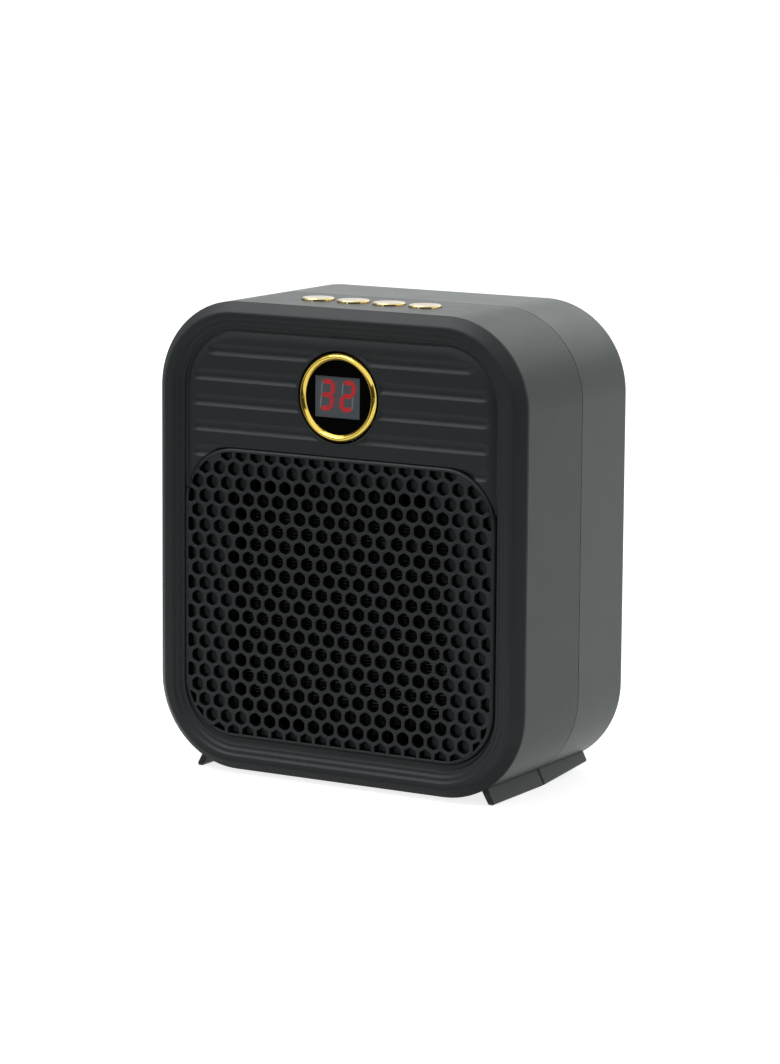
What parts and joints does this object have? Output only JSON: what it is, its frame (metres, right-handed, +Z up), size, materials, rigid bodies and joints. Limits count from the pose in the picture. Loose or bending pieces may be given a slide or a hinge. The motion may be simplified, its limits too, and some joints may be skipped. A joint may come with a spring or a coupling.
{
  "type": "ceramic space heater",
  "caption": "Compact desktop ceramic space heater: rounded casing on foot rails, honeycomb outlet grille, ribbed face with ringed digital display, push buttons on top, ducted fan behind.",
  "frame": {"origin": "on the floor under the middle of the casing, at the underside of the foot rails", "axes": "+X to the right seen from the front, +Y from the outlet grille to the rear intake, +Z up"},
  "size_m": [0.168, 0.088, 0.1929],
  "materials": {
    "casing_plastic": "moulded ABS, fine spark texture",
    "face_plastic": "moulded ABS, fine spark texture",
    "gold_plate": "gold electroplate on ABS",
    "dark_window": "polished black acrylic",
    "led_face": "grey LED module face",
    "circuit_board": "solder mask",
    "switch_plastic": "moulded",
    "screw_steel": "blackened steel",
    "duct_plastic": "glass-filled moulding",
    "fin_aluminium": "mill",
    "heater_ceramic": "fired",
    "contact_metal": "mill",
    "cutout_plastic": "phenolic",
    "motor_steel": "plated",
    "coil_tape": "polyester tape",
    "terminal_plastic": "moulded",
    "capacitor_sleeve": "heat-shrink sleeve",
    "gland_rubber": "moulded"
  },
  "bodies": {
    "casing": {"front_housing": "casing_plastic", "rear_housing": "casing_plastic", "front_panel": "face_plastic", "grille": "face_plastic", "display_ring": "gold_plate", "display_window": "dark_window", "led_display": "led_face", "display_board": "circuit_board", "display_screws": "screw_steel", "key_board": "circuit_board", "tact_switches": "switch_plastic", "key_board_screws": "screw_steel", "air_duct": "duct_plastic", "duct_screws": "screw_steel", "heater_frame_upper": "duct_plastic", "heater_frame_lower": "duct_plastic", "fin_packs": "fin_aluminium", "ptc_bars": "heater_ceramic", "electrode_strips": "contact_metal", "heater_terminals": "contact_metal", "thermal_cutout": "cutout_plastic", "fan_motor": "motor_steel", "motor_bracket": "duct_plastic", "power_board": "circuit_board", "board_screws": "screw_steel", "relay": "switch_plastic", "transformer": "coil_tape", "terminal_block": "terminal_plastic", "capacitors": "capacitor_sleeve", "tip_over_switch": "switch_plastic", "cord_gland": "gland_rubber", "housing_screws": "screw_steel"},
    "button_1": {"button_1": "gold_plate"},
    "button_2": {"button_2": "gold_plate"},
    "button_3": {"button_3": "gold_plate"},
    "button_4": {"button_4": "gold_plate"},
    "fan": {"fan_impeller": "duct_plastic", "motor_shaft": "motor_steel"}
  },
  "joints": [
    {"name": "button_1_press", "type": "slide", "parent": "casing", "child": "button_1", "axis": [0, 0, -1], "range_m": [0, 0.0008], "stiffness_N_per_m": 1500},
    {"name": "button_2_press", "type": "slide", "parent": "casing", "child": "button_2", "axis": [0, 0, -1], "range_m": [0, 0.0008], "stiffness_N_per_m": 1500},
    {"name": "button_3_press", "type": "slide", "parent": "casing", "child": "button_3", "axis": [0, 0, -1], "range_m": [0, 0.0008], "stiffness_N_per_m": 1500},
    {"name": "button_4_press", "type": "slide", "parent": "casing", "child": "button_4", "axis": [0, 0, -1], "range_m": [0, 0.0008], "stiffness_N_per_m": 1500},
    {"name": "fan_spin", "type": "hinge", "parent": "casing", "child": "fan", "pos_m": [0, 0.0072, 0.0708], "axis": [0, 1, 0], "continuous": true}
  ]
}
